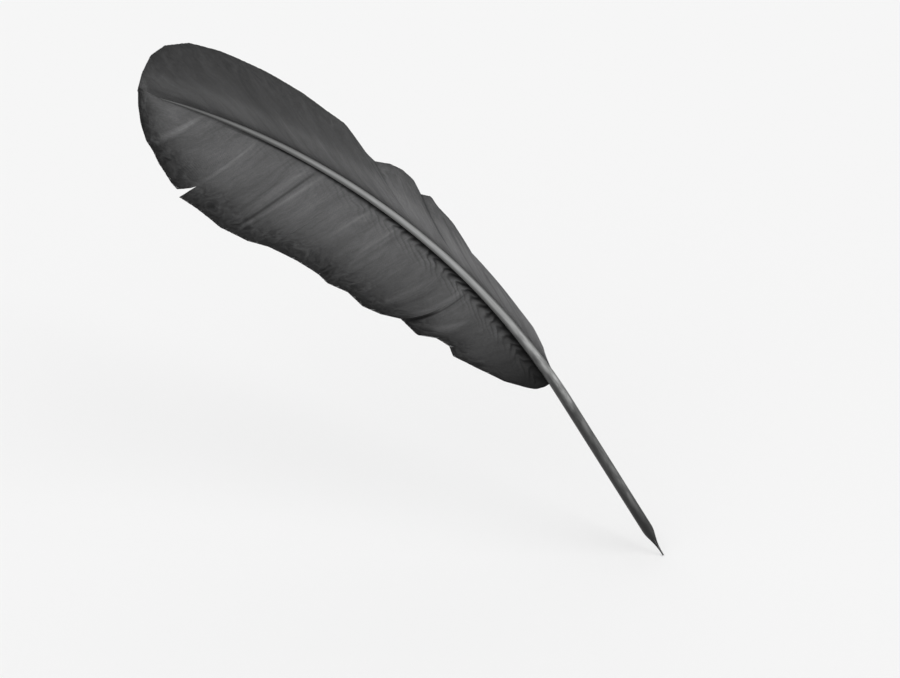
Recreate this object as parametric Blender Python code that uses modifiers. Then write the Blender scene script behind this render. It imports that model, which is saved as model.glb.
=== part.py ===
"""Quill pen: one large wing feather, cleaned and cut as a pen, at the lean it has in an ink pot.

The world origin is under the nib's point, +Z is up, and lengths are in metres. The pen leans
towards -X, its plane is tipped a little back towards +Y, and the feather's back (its smooth,
convex side) faces -Y. Every place on the pen is given along the shaft from the nib's point,
out to one side of the shaft (positive is the narrow outer vane, negative the wide inner one)
and raised towards the feather's back.
"""

import math
from typing import NamedTuple

import bmesh
import bpy
from mathutils import Vector

# The shaft's line
PEN_HEADING = math.radians(58)      # slope of the straight lower end, in the pen's plane
PEN_TIP_BACK = math.radians(10)     # how far the pen's plane is tipped back from upright
STRAIGHT_LENGTH = 0.085             # the lower end is straight up to here
ARC_RADIUS = 0.296                  # and from there the shaft bows over
SHAFT_LENGTH = 0.3023               # nib's point to the shaft's thin end
BACKWARD_BEND = 0.008               # how far the thin end bends away from the feather's back
POINT_CLEARANCE = 0.0003            # height of the nib's point, so that no corner is below 0

# Barrel and nib
BARREL_RADIUS = 0.0025
BARREL_WALL = 0.00045
BARREL_TOP = 0.088
NIB_LENGTH = 0.014                  # point to the shoulders, where half the barrel is left
SCOOP_LENGTH = 0.011                # from the shoulders up to where the barrel is whole again
POINT_HALF_ANGLE = math.radians(8)  # the point is 0.7 mm wide on the barrel's wall
SHOULDER_POWER = 2.6                # above 1 makes the nib's cheeks hollow
SLIT_LENGTH = 0.010
SLIT_GAP = 0.00024
BARREL_SIDES = 20
BARREL_ROWS = 16

# Shaft above the barrel: (along, width across, depth), fair between these stations
SHAFT_STATIONS = (
    (0.0880, 0.00500, 0.00500),
    (0.1150, 0.00440, 0.00450),
    (0.1450, 0.00350, 0.00370),
    (0.1850, 0.00305, 0.00300),
    (0.2450, 0.00245, 0.00210),
    (0.2870, 0.00135, 0.00120),
    (0.3023, 0.00050, 0.00050),
)
SHAFT_ROWS = 30
SHAFT_SIDES = 16
SQUARENESS = 0.7                    # added to the ellipse's power of 2 once clear of the barrel
SQUARE_FROM = 0.088
SQUARE_BY = 0.130
SHAFT_WALL = 0.00045
BORE_END = 0.200
PITH_START = 0.0895
PITH_END = 0.199

# Vanes
VANE_THICKNESS = 0.0006
PIECE_GAP = 0.0003                  # what touches its neighbour keeps this clear of it
SPLIT_FROM = 0.78                   # a notch in the edge is open from this share of the barbs on
BARB_STEPS = 9
COLUMNS_PER_SPAN = 3                # between one listed barb and the next


class Barb(NamedTuple):
    """One barb of a vane. Those between two listed ones are spread evenly from one to the other."""

    root: float                     # along the shaft
    angle: float                    # degrees between the shaft and the barb at its root
    tip: tuple                      # along the shaft, out from it


class Vane(NamedTuple):
    """What all the barbs on one side of the shaft share."""

    side: int                       # 1 for the outer vane, -1 for the inner
    slope: float                    # the vane falls away from the feather's back by this slope
    curve: float                    # and by this curvature
    elbow: float                    # share of a barb's reach where it turns to its tip


OUTER_VANE = Vane(1, 0.06, 4.5, 0.58)
INNER_VANE = Vane(-1, 0.02, 3.6, 0.62)
# Clump by clump from the barrel up, each from its first barb to its last
OUTER_CLUMPS = (
    (Barb(0.0970, 5, (0.1100, 0.0049)), Barb(0.1000, 7, (0.1190, 0.0067)),
     Barb(0.1060, 9, (0.1290, 0.0071)), Barb(0.1150, 12, (0.1420, 0.0080))),
    (Barb(0.1150, 12, (0.1420, 0.0080)), Barb(0.1330, 8, (0.1597, 0.0090))),
    (Barb(0.1330, 8, (0.1597, 0.0090)), Barb(0.1420, 9, (0.1740, 0.0131)),
     Barb(0.1480, 10, (0.1828, 0.0142)), Barb(0.1515, 10, (0.1871, 0.0157)),
     Barb(0.1560, 10, (0.1907, 0.0138))),
    (Barb(0.1560, 10, (0.1907, 0.0138)), Barb(0.1615, 11, (0.1965, 0.0167)),
     Barb(0.1680, 13, (0.2025, 0.0174)), Barb(0.1745, 13, (0.2076, 0.0165)),
     Barb(0.1800, 12, (0.2131, 0.0139))),
    (Barb(0.1800, 12, (0.2131, 0.0139)), Barb(0.1835, 13, (0.2175, 0.0147)),
     Barb(0.1920, 16, (0.2306, 0.0205)), Barb(0.2000, 18, (0.2397, 0.0215)),
     Barb(0.2110, 20, (0.2505, 0.0233))),
    (Barb(0.2110, 20, (0.2505, 0.0233)), Barb(0.2260, 22, (0.2660, 0.0249)),
     Barb(0.2430, 24, (0.2850, 0.0258))),
    (Barb(0.2430, 24, (0.2850, 0.0258)), Barb(0.2560, 24, (0.2975, 0.0249)),
     Barb(0.2670, 23, (0.3060, 0.0211))),
    (Barb(0.2670, 23, (0.3060, 0.0211)), Barb(0.2780, 19, (0.3103, 0.0158)),
     Barb(0.2890, 12, (0.3120, 0.0080)), Barb(0.3000, 5, (0.3123, 0.0017))),
)
INNER_CLUMPS = (
    (Barb(0.0950, 100, (0.0950, 0.0052)), Barb(0.0968, 98, (0.0960, 0.0085)),
     Barb(0.0990, 95, (0.0990, 0.0115)), Barb(0.1045, 88, (0.1070, 0.0178)),
     Barb(0.1120, 80, (0.1199, 0.0239))),
    (Barb(0.1120, 80, (0.1199, 0.0239)), Barb(0.1205, 82, (0.1312, 0.0285)),
     Barb(0.1250, 84, (0.1362, 0.0267))),
    (Barb(0.1250, 84, (0.1362, 0.0267)), Barb(0.1330, 86, (0.1432, 0.0285)),
     Barb(0.1400, 88, (0.1503, 0.0337)), Barb(0.1498, 88, (0.1622, 0.0337))),
    (Barb(0.1498, 88, (0.1622, 0.0337)), Barb(0.1540, 86, (0.1705, 0.0382)),
     Barb(0.1640, 81, (0.1797, 0.0408)), Barb(0.1750, 76, (0.1899, 0.0399))),
    (Barb(0.1750, 76, (0.1899, 0.0399)), Barb(0.1845, 73, (0.2005, 0.0421)),
     Barb(0.1910, 71, (0.2068, 0.0411))),
    (Barb(0.1910, 71, (0.2068, 0.0411)), Barb(0.2000, 69, (0.2190, 0.0412)),
     Barb(0.2130, 67, (0.2356, 0.0424))),
    (Barb(0.2130, 67, (0.2356, 0.0424)), Barb(0.2220, 66, (0.2460, 0.0446)),
     Barb(0.2350, 65, (0.2610, 0.0444))),
    (Barb(0.2350, 65, (0.2610, 0.0444)), Barb(0.2460, 64, (0.2754, 0.0404)),
     Barb(0.2565, 64, (0.2848, 0.0384))),
    (Barb(0.2565, 64, (0.2867, 0.0353)), Barb(0.2605, 62, (0.2902, 0.0332)),
     Barb(0.2680, 57, (0.2976, 0.0267)), Barb(0.2745, 54, (0.3012, 0.0223))),
    (Barb(0.2745, 54, (0.3012, 0.0223)), Barb(0.2823, 48, (0.3050, 0.0188)),
     Barb(0.2890, 35, (0.3085, 0.0125)), Barb(0.2950, 18, (0.3110, 0.0050)),
     Barb(0.3000, 5, (0.3123, -0.0010))),
)

ACROSS = Vector((1.0, 0.0, 0.0))
UP_THE_PEN = Vector((0.0, math.sin(PEN_TIP_BACK), math.cos(PEN_TIP_BACK)))
FACING = Vector((0.0, -math.cos(PEN_TIP_BACK), math.sin(PEN_TIP_BACK)))
START = Vector((0.0, 0.0, POINT_CLEARANCE)) - BARREL_RADIUS * FACING

KERATIN_GREY = (0.300, 0.305, 0.305)
PITH_WHITE = (0.620, 0.600, 0.550)
OUTER_GREY = (0.105, 0.105, 0.107)
INNER_GREY = (0.075, 0.075, 0.077)


def clear_scene():
    for each in list(bpy.data.objects):
        bpy.data.objects.remove(each)


def ease(share):
    """0 to 1 with a soft start and end."""
    share = min(1.0, max(0.0, share))
    return share * share * (3.0 - 2.0 * share)


def mix(first, last, share):
    return first + (last - first) * share


def fair(stations, along, column):
    """A smooth curve through one column of a table of stations, read at a place along."""
    last = len(stations) - 1
    index = 0
    while index < last - 1 and along > stations[index + 1][0]:
        index += 1

    def slope(at):
        before, after = stations[max(0, at - 1)], stations[min(last, at + 1)]
        return (after[column] - before[column]) / (after[0] - before[0])

    low, high = stations[index], stations[index + 1]
    span = high[0] - low[0]
    share = min(1.0, max(0.0, (along - low[0]) / span))
    rise = high[column] - low[column]
    start_slope, end_slope = slope(index) * span, slope(index + 1) * span
    cubic = (start_slope + end_slope - 2.0 * rise) * share + 3.0 * rise - 2.0 * start_slope - end_slope
    return low[column] + share * (start_slope + share * cubic)


def spine(along):
    """A point on the shaft's centre line."""
    straight = min(along, STRAIGHT_LENGTH)
    bowed = max(0.0, along - STRAIGHT_LENGTH)
    heading = PEN_HEADING - bowed / ARC_RADIUS
    sideways = straight * math.cos(PEN_HEADING) + ARC_RADIUS * (math.sin(PEN_HEADING) - math.sin(heading))
    height = straight * math.sin(PEN_HEADING) + ARC_RADIUS * (math.cos(heading) - math.cos(PEN_HEADING))
    bend = BACKWARD_BEND * (bowed / (SHAFT_LENGTH - STRAIGHT_LENGTH)) ** 2
    return START - sideways * ACROSS + height * UP_THE_PEN - bend * FACING


def spine_axes(along):
    """Directions at a place on the shaft: up it, out to the outer vane, and to the feather's back."""
    heading = PEN_HEADING - max(0.0, along - STRAIGHT_LENGTH) / ARC_RADIUS
    step = 0.0005
    up_shaft = (spine(along + step) - spine(along - step)).normalized()
    outward = math.sin(heading) * ACROSS + math.cos(heading) * UP_THE_PEN
    return up_shaft, outward, outward.cross(up_shaft)


def on_pen(along, out, raised):
    _, outward, back = spine_axes(along)
    return spine(along) + out * outward + raised * back


def on_wall(along, angle, radius):
    """A point on a round wall about the shaft's line; angle 0 is at the feather's back."""
    return on_pen(along, radius * math.sin(angle), radius * math.cos(angle))


def material(name, colour, roughness):
    made = bpy.data.materials.new(name)
    made.use_nodes = True
    shader = made.node_tree.nodes["Principled BSDF"]
    shader.inputs["Base Color"].default_value = (*colour, 1.0)
    shader.inputs["Roughness"].default_value = roughness
    shader.inputs["Metallic"].default_value = 0.0
    made.diffuse_color = (*colour, 1.0)
    return made


def add_object(name, mesh, finish, collection):
    made = bpy.data.objects.new(name, mesh)
    collection.objects.link(made)
    if finish:
        mesh.materials.append(finish)
    mesh.shade_smooth()
    mesh.set_sharp_from_angle(angle=math.radians(40))
    return made


def sheet(name, columns, rows, place, thickness, centred, finish, collection):
    """A grid laid on a surface by place(u, v), u and v from 0 to 1, then given its thickness."""
    work = bmesh.new()
    bmesh.ops.create_grid(work, x_segments=columns, y_segments=rows, size=0.5)
    for vertex in work.verts:
        vertex.co = place(vertex.co.x + 0.5, vertex.co.y + 0.5)
    bmesh.ops.remove_doubles(work, verts=work.verts, dist=0.00001)
    mesh = bpy.data.meshes.new(name)
    work.to_mesh(mesh)
    work.free()
    made = add_object(name, mesh, finish, collection)
    skin = made.modifiers.new("thickness", "SOLIDIFY")
    skin.thickness = thickness
    skin.offset = 0.0 if centred else -1.0
    return made


def loft(name, rings, finish, collection):
    """A closed solid through rings of points that run anticlockwise seen from the last ring."""
    work = bmesh.new()
    loops = [[work.verts.new(point) for point in ring] for ring in rings]
    sides = len(rings[0])
    for lower, upper in zip(loops, loops[1:]):
        for i in range(sides):
            j = (i + 1) % sides
            work.faces.new((lower[i], lower[j], upper[j], upper[i]))
    work.faces.new(loops[0][::-1])
    work.faces.new(loops[-1])
    bmesh.ops.recalc_face_normals(work, faces=work.faces)
    mesh = bpy.data.meshes.new(name)
    work.to_mesh(mesh)
    work.free()
    return add_object(name, mesh, finish, collection)


def shaft_ring(along, inset):
    """One section of the shaft: round at the barrel, then a rounded square."""
    half_width = fair(SHAFT_STATIONS, along, 1) / 2 - inset
    half_depth = fair(SHAFT_STATIONS, along, 2) / 2 - inset
    power = 2.0 + SQUARENESS * ease((along - SQUARE_FROM) / (SQUARE_BY - SQUARE_FROM))
    ring = []
    for i in range(SHAFT_SIDES):
        angle = 2 * math.pi * i / SHAFT_SIDES
        out = math.copysign(abs(math.sin(angle)) ** (2 / power), math.sin(angle))
        raised = math.copysign(abs(math.cos(angle)) ** (2 / power), math.cos(angle))
        ring.append(on_pen(along, half_width * out, half_depth * raised))
    return ring


def shaft_loft(name, start, end, rows, inset, finish, collection):
    places = [mix(start, end, i / rows) for i in range(rows + 1)]
    return loft(name, [shaft_ring(along, inset) for along in places], finish, collection)


def wall_half_angle(along):
    """How far round from the feather's back the nib's wall reaches, between point and shoulders."""
    cheek = (along / NIB_LENGTH) ** SHOULDER_POWER
    return mix(POINT_HALF_ANGLE, math.pi / 2, cheek)


def build_barrel(finish, collection):
    """The hollow barrel, with the scoop cut from its underside and the shoulders of the nib."""
    lowest = SLIT_LENGTH + PIECE_GAP
    shoulder_share, scoop_share = 0.15, 0.65

    def place(u, v):
        if v < shoulder_share:
            along = mix(lowest, NIB_LENGTH, v / shoulder_share)
            half = wall_half_angle(along)
        elif v < scoop_share:
            turn = (v - shoulder_share) / (scoop_share - shoulder_share) * math.pi / 2
            along = NIB_LENGTH + SCOOP_LENGTH * math.sin(turn)
            half = math.pi - math.pi / 2 * math.cos(turn)
        else:
            along = mix(NIB_LENGTH + SCOOP_LENGTH, BARREL_TOP, (v - scoop_share) / (1 - scoop_share))
            half = math.pi
        return on_wall(along, half * (2 * u - 1), BARREL_RADIUS)

    return sheet("barrel", BARREL_SIDES, BARREL_ROWS, place, BARREL_WALL, False, finish, collection)


def build_tine(name, side, finish, collection):
    """One half of the nib, from the slit out to the cheek. side is 1 on the outer vane's side."""

    def place(u, v):
        along = SLIT_LENGTH * v
        slit_edge = SLIT_GAP / 2 / BARREL_RADIUS
        angle = mix(slit_edge, wall_half_angle(along), u if side > 0 else 1 - u)
        return on_wall(along, side * angle, BARREL_RADIUS)

    return sheet(name, 4, 8, place, BARREL_WALL, False, finish, collection)


def build_shaft(finish, collection, cutters):
    shaft = shaft_loft("shaft", BARREL_TOP + PIECE_GAP, SHAFT_LENGTH, SHAFT_ROWS, 0.0, finish, collection)
    bore = shaft_loft("shaft_bore_cutter", BARREL_TOP - SHAFT_WALL, BORE_END, 14, SHAFT_WALL, None, cutters)
    bore.hide_render = True
    bore.display_type = "WIRE"
    cut = shaft.modifiers.new("bore", "BOOLEAN")
    cut.operation = "DIFFERENCE"
    cut.object = bore
    return shaft


def build_pith(finish, collection):
    return shaft_loft("shaft_pith", PITH_START, PITH_END, 14, SHAFT_WALL + PIECE_GAP, finish, collection)


def clump_surface(clump, below, above, vane):
    """place(u, v) for one clump: u runs over its barbs' roots and v along each barb to its tip."""
    last = len(clump) - 1
    own_first, own_last = Vector(clump[0].tip), Vector(clump[last].tip)
    first_split = (own_first - Vector(below[-1].tip)) / 2 if below else Vector((0.0, 0.0))
    last_split = (own_last - Vector(above[0].tip)) / 2 if above else Vector((0.0, 0.0))

    def place(u, v):
        root_along = mix(clump[0].root, clump[last].root, u)
        index = 0
        while index < last - 1 and root_along > clump[index + 1].root:
            index += 1
        low, high = clump[index], clump[index + 1]
        share = (root_along - low.root) / (high.root - low.root)
        half_width = fair(SHAFT_STATIONS, max(root_along, BARREL_TOP), 1) / 2
        root = Vector((root_along, half_width + PIECE_GAP + VANE_THICKNESS / 2))
        split = first_split.lerp(last_split, u)
        tip = Vector(low.tip).lerp(Vector(high.tip), share) - split
        angle = math.radians(mix(low.angle, high.angle, share))
        elbow = root + Vector((math.cos(angle), math.sin(angle))) * (tip - root).length * vane.elbow
        on_barb = root * (1 - v) ** 2 + elbow * 2 * v * (1 - v) + tip * v * v
        on_barb += split * max(0.0, (v - SPLIT_FROM) / (1 - SPLIT_FROM))
        barb_way = ((elbow - root) * (1 - v) + (tip - elbow) * v).normalized()
        on_barb += Vector((barb_way.y, -barb_way.x)) * PIECE_GAP * (0.5 - u)
        out = on_barb.y
        return on_pen(on_barb.x, vane.side * out, -vane.slope * abs(out) - vane.curve * out * out)

    return place


def build_clump(name, clump, below, above, vane, finish, collection):
    """One clump of barbs as a plate, with columns of its grid on the listed barbs."""
    spans = len(clump) - 1
    place = clump_surface(clump, below, above, vane)

    def place_by_column(column, v):
        index = min(spans - 1, int(column * spans))
        root = mix(clump[index].root, clump[index + 1].root, column * spans - index)
        return place((root - clump[0].root) / (clump[spans].root - clump[0].root), v)

    columns = COLUMNS_PER_SPAN * spans
    sheet(name, columns, BARB_STEPS, place_by_column, VANE_THICKNESS, True, finish, collection)


def build_vane(name, clumps, vane, finish, collection):
    """One vane, as its clumps of barbs from the barrel to the feather's tip."""
    for i, clump in enumerate(clumps):
        below = clumps[i - 1] if i > 0 else None
        above = clumps[i + 1] if i + 1 < len(clumps) else None
        build_clump(f"{name}_{i + 1}", clump, below, above, vane, finish, collection)


def build_quill_pen():
    clear_scene()
    collection = bpy.data.collections.new("quill_pen")
    cutters = bpy.data.collections.new("cutters")
    bpy.context.scene.collection.children.link(collection)
    bpy.context.scene.collection.children.link(cutters)
    keratin = material("keratin", KERATIN_GREY, 0.45)
    pith = material("pith", PITH_WHITE, 0.9)
    outer = material("outer_barbs", OUTER_GREY, 0.7)
    inner = material("inner_barbs", INNER_GREY, 0.7)
    build_barrel(keratin, collection)
    build_tine("tine_left", -1, keratin, collection)
    build_tine("tine_right", 1, keratin, collection)
    build_shaft(keratin, collection, cutters)
    build_pith(pith, collection)
    build_vane("outer_vane", OUTER_CLUMPS, OUTER_VANE, outer, collection)
    build_vane("inner_vane", INNER_CLUMPS, INNER_VANE, inner, collection)


build_quill_pen()
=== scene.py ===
"""Quill pen: the looks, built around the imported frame.

Every place on the pen is given along the shaft from the nib's point, out to one side of the
shaft (positive is the narrow outer vane, negative the wide inner one) and raised towards the
feather's back. Lengths are in metres.
"""

import math
from typing import NamedTuple

import bmesh
import bpy
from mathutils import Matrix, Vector


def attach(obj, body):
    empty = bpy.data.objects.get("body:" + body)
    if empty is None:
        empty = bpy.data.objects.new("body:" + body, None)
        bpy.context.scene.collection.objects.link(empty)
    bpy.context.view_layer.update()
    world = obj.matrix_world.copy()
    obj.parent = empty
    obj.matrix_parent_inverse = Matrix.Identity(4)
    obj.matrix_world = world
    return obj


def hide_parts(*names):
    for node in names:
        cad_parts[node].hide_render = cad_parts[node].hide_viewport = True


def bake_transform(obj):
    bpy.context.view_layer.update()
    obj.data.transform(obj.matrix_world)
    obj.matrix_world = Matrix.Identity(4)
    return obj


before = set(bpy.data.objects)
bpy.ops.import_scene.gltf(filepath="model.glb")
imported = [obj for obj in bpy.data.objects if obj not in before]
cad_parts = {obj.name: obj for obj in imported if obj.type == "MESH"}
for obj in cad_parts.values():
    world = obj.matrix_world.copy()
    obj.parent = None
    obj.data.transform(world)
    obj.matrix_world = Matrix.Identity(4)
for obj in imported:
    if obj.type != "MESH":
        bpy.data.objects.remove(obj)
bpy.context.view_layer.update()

# The shaft's line, the same as in the frame
PEN_HEADING = math.radians(58)
PEN_TIP_BACK = math.radians(10)
STRAIGHT_LENGTH = 0.085
ARC_RADIUS = 0.296
SHAFT_LENGTH = 0.3023
BACKWARD_BEND = 0.008
POINT_CLEARANCE = 0.0003
ACROSS = Vector((1.0, 0.0, 0.0))
UP_THE_PEN = Vector((0.0, math.sin(PEN_TIP_BACK), math.cos(PEN_TIP_BACK)))
FACING = Vector((0.0, -math.cos(PEN_TIP_BACK), math.sin(PEN_TIP_BACK)))

# Barrel and nib
BARREL_RADIUS = 0.0025
BARREL_WALL = 0.00045
BARREL_TOP = 0.088
NIB_LENGTH = 0.014
SCOOP_LENGTH = 0.011
POINT_HALF_ANGLE = math.radians(8)
SHOULDER_POWER = 2.6
SLIT_LENGTH = 0.010
SLIT_GAP = 0.00006                  # at rest the two tines all but touch
SLIT_CLOSES = 0.2                   # the share of the slit, at its top, over which the gap closes
POINT_WALL = 0.00022                # the wall is scraped thin towards the point
SCRAPED_LENGTH = 0.006
FLEX_REACH = 0.0012                 # a length either side of the slit's top; the tines are not bent over it
START = Vector((0.0, 0.0, POINT_CLEARANCE)) - BARREL_RADIUS * FACING

# Shaft above the barrel: (along, width across, depth)
SHAFT_STATIONS = (
    (0.0880, 0.00500, 0.00500),
    (0.1150, 0.00440, 0.00450),
    (0.1450, 0.00350, 0.00370),
    (0.1850, 0.00305, 0.00300),
    (0.2450, 0.00245, 0.00210),
    (0.2870, 0.00135, 0.00120),
    (0.3023, 0.00050, 0.00050),
)
ROUND_POWER = 2.0                   # of the curve that makes a round section
SQUARENESS = 0.7                    # is added to that power where the shaft has turned square
SQUARE_FROM = 0.088
SQUARE_BY = 0.130
SHAFT_WALL = 0.00045
BORE_END = 0.200
GROOVE_HALF_ANGLE = 0.30            # of the groove on the shaft's underside, in radians
GROOVE_DEPTH = 0.22                 # as a share of the shaft's half depth

# How finely the shells are divided
SHAFT_SIDES = 40
SHAFT_ROWS = 170
BORE_ROWS = 40
BARREL_COLUMNS = 56
BARREL_ROWS = 90
SCOOP_ROWS_SHARE = 0.45             # of the barrel's rows
TINE_COLUMNS = 14
TINE_ROWS = 56
SHARP_ANGLE = math.radians(40)      # edges sharper than this stay crisp
MERGE_DISTANCE = 0.000002

# Barbs
OUTER_PITCH = 0.00060
INNER_PITCH = 0.00046
OUTER_SEED = 10
INNER_SEED = 40
GUIDE_COLUMNS = 26
GUIDE_ROWS = 36
GUIDE_MARGIN = 0.10                 # how far a guide runs past its clump's edges, as a share
ROOT_INSET = 0.40                   # barbs start inside the shaft, at this share of its width
TUCKED_BARBS = 3                    # barbs of one clump that run on under the next
TUCK_SINKS = 0.7                    # share of a tuck's depth by which the lower clump sinks
TUCK_RISES = 0.3                    # and by which the clump over it rises
TUCK_EDGE = 0.25                    # the share of a clump that bends to its neighbour
TUCK_FROM = 0.25                    # shares of a barb: where its tuck starts
TUCK_RUN = 0.45                     # and how much of it the tuck takes to reach its depth
SPLIT_FROM = 0.78                   # a notch in the edge is open from this share of the barbs on
BARB_INPUTS = (
    ("Barb Count", "NodeSocketInt", 40),
    ("Tucked Barbs", "NodeSocketInt", 0),
    ("Segments", "NodeSocketInt", 12),
    ("Wing Reach", "NodeSocketFloat", 0.64),         # either side of the barb, in pitches
    ("Wing Thickness", "NodeSocketFloat", 0.00007),
    ("Ridge Height", "NodeSocketFloat", 0.00010),
    ("Wing Tilt", "NodeSocketFloat", 0.00004),       # lays one barb's wing over the next barb's
    ("Tip Taper", "NodeSocketFloat", 0.03),          # share of the barb that narrows
    ("Wander", "NodeSocketFloat", 0.7),              # off its own line, in pitches
    ("Fray", "NodeSocketFloat", 0.004),              # the most that a barb falls short, as a share
    ("Seed", "NodeSocketInt", 1),
    ("Finish", "NodeSocketMaterial", None),
)
TIP_WIDTH = 0.82                    # of a barb, as a share of its full width
WANDER_ACROSS = 0.31                # how fast the wander changes, from barb to barb
WANDER_ALONG = 2.5                  # and along each barb
REACH_LIMIT = 0.999                 # keeps the tips just inside the guide's edge


class Barb(NamedTuple):
    """One barb of a vane. Those between two listed ones are spread evenly from one to the other."""

    root: float                     # along the shaft
    angle: float                    # degrees between the shaft and the barb at its root
    tip: tuple                      # along the shaft, out from it


class Vane(NamedTuple):
    """What all the barbs on one side of the shaft share."""

    name: str
    side: int                       # 1 for the outer vane, -1 for the inner
    slope: float                    # the vane falls away from the feather's back by slope times
    curve: float                    # the distance out, and by curve times its square
    elbow: float                    # share of a barb's length at which it turns towards its tip
    pitch: float                    # between barb roots along the shaft
    clumps: tuple                   # rows of barbs, from the barrel up
    tucks: dict                     # by a clump's number: how deep it runs on under the next one


# Clump by clump from the barrel up, each from its first barb to its last
OUTER_CLUMPS = (
    (Barb(0.0970, 5, (0.1100, 0.0049)), Barb(0.1000, 7, (0.1190, 0.0067)),
     Barb(0.1060, 9, (0.1290, 0.0071)), Barb(0.1150, 12, (0.1420, 0.0080))),
    (Barb(0.1150, 12, (0.1420, 0.0080)), Barb(0.1330, 8, (0.1597, 0.0090))),
    (Barb(0.1330, 8, (0.1597, 0.0090)), Barb(0.1420, 9, (0.1740, 0.0131)),
     Barb(0.1480, 10, (0.1828, 0.0142)), Barb(0.1515, 10, (0.1871, 0.0157)),
     Barb(0.1560, 10, (0.1907, 0.0138))),
    (Barb(0.1560, 10, (0.1907, 0.0138)), Barb(0.1615, 11, (0.1965, 0.0167)),
     Barb(0.1680, 13, (0.2025, 0.0174)), Barb(0.1745, 13, (0.2076, 0.0165)),
     Barb(0.1800, 12, (0.2131, 0.0139))),
    (Barb(0.1800, 12, (0.2131, 0.0139)), Barb(0.1835, 13, (0.2175, 0.0147)),
     Barb(0.1920, 16, (0.2306, 0.0205)), Barb(0.2000, 18, (0.2397, 0.0215)),
     Barb(0.2110, 20, (0.2505, 0.0233))),
    (Barb(0.2110, 20, (0.2505, 0.0233)), Barb(0.2260, 22, (0.2660, 0.0249)),
     Barb(0.2430, 24, (0.2850, 0.0258))),
    (Barb(0.2430, 24, (0.2850, 0.0258)), Barb(0.2560, 24, (0.2975, 0.0249)),
     Barb(0.2670, 23, (0.3060, 0.0211))),
    (Barb(0.2670, 23, (0.3060, 0.0211)), Barb(0.2780, 19, (0.3103, 0.0158)),
     Barb(0.2890, 12, (0.3120, 0.0080)), Barb(0.3000, -6, (0.3123, 0.0004))),
)
INNER_CLUMPS = (
    (Barb(0.0950, 100, (0.0950, 0.0052)), Barb(0.0968, 98, (0.0960, 0.0085)),
     Barb(0.0990, 95, (0.0990, 0.0115)), Barb(0.1045, 88, (0.1070, 0.0178)),
     Barb(0.1120, 80, (0.1199, 0.0239))),
    (Barb(0.1120, 80, (0.1199, 0.0239)), Barb(0.1205, 82, (0.1312, 0.0285)),
     Barb(0.1250, 84, (0.1362, 0.0267))),
    (Barb(0.1250, 84, (0.1362, 0.0267)), Barb(0.1330, 86, (0.1432, 0.0285)),
     Barb(0.1400, 88, (0.1503, 0.0337)), Barb(0.1498, 88, (0.1622, 0.0337))),
    (Barb(0.1498, 88, (0.1622, 0.0337)), Barb(0.1540, 86, (0.1705, 0.0382)),
     Barb(0.1640, 81, (0.1797, 0.0408)), Barb(0.1750, 76, (0.1899, 0.0399))),
    (Barb(0.1750, 76, (0.1899, 0.0399)), Barb(0.1845, 73, (0.2005, 0.0421)),
     Barb(0.1910, 71, (0.2068, 0.0411))),
    (Barb(0.1910, 71, (0.2068, 0.0411)), Barb(0.2000, 69, (0.2190, 0.0412)),
     Barb(0.2130, 67, (0.2356, 0.0424))),
    (Barb(0.2130, 67, (0.2356, 0.0424)), Barb(0.2220, 66, (0.2460, 0.0446)),
     Barb(0.2350, 65, (0.2610, 0.0444))),
    (Barb(0.2350, 65, (0.2610, 0.0444)), Barb(0.2460, 64, (0.2754, 0.0404)),
     Barb(0.2565, 64, (0.2848, 0.0384))),
    (Barb(0.2565, 64, (0.2867, 0.0353)), Barb(0.2605, 62, (0.2902, 0.0332)),
     Barb(0.2680, 57, (0.2976, 0.0267)), Barb(0.2745, 54, (0.3012, 0.0223))),
    (Barb(0.2745, 54, (0.3012, 0.0223)), Barb(0.2823, 48, (0.3050, 0.0188)),
     Barb(0.2890, 35, (0.3085, 0.0125)), Barb(0.2950, 18, (0.3110, 0.0050)),
     Barb(0.3000, -6, (0.3123, -0.0022))),
)
OUTER_VANE = Vane("outer", 1, 0.06, 4.5, 0.58, OUTER_PITCH, OUTER_CLUMPS, {3: 0.0007, 4: 0.0003})
INNER_VANE = Vane("inner", -1, 0.02, 3.6, 0.62, INNER_PITCH, INNER_CLUMPS, {3: 0.0011, 6: 0.0003})


# ---------------------------------------------------------------- places on the pen

def ease(share):
    """0 to 1 with a soft start and end."""
    share = min(1.0, max(0.0, share))
    return share * share * (3.0 - 2.0 * share)


def mix(first, last, share):
    """The value a share of the way from first to last."""
    return first + (last - first) * share


def fair(stations, along, column):
    """A smooth curve through one column of a table of stations, read at a place along."""
    last = len(stations) - 1
    index = 0
    while index < last - 1 and along > stations[index + 1][0]:
        index += 1

    def slope(at):
        before, after = stations[max(0, at - 1)], stations[min(last, at + 1)]
        return (after[column] - before[column]) / (after[0] - before[0])

    low, high = stations[index], stations[index + 1]
    span = high[0] - low[0]
    share = min(1.0, max(0.0, (along - low[0]) / span))
    rise = high[column] - low[column]
    start_slope, end_slope = slope(index) * span, slope(index + 1) * span
    cubic = (start_slope + end_slope - 2.0 * rise) * share + 3.0 * rise - 2.0 * start_slope - end_slope
    return low[column] + share * (start_slope + share * cubic)


def spine(along):
    """A point on the shaft's centre line."""
    straight = min(along, STRAIGHT_LENGTH)
    bowed = max(0.0, along - STRAIGHT_LENGTH)
    heading = PEN_HEADING - bowed / ARC_RADIUS
    sideways = straight * math.cos(PEN_HEADING) + ARC_RADIUS * (math.sin(PEN_HEADING) - math.sin(heading))
    height = straight * math.sin(PEN_HEADING) + ARC_RADIUS * (math.cos(heading) - math.cos(PEN_HEADING))
    bend = BACKWARD_BEND * (bowed / (SHAFT_LENGTH - STRAIGHT_LENGTH)) ** 2
    return START - sideways * ACROSS + height * UP_THE_PEN - bend * FACING


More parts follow.
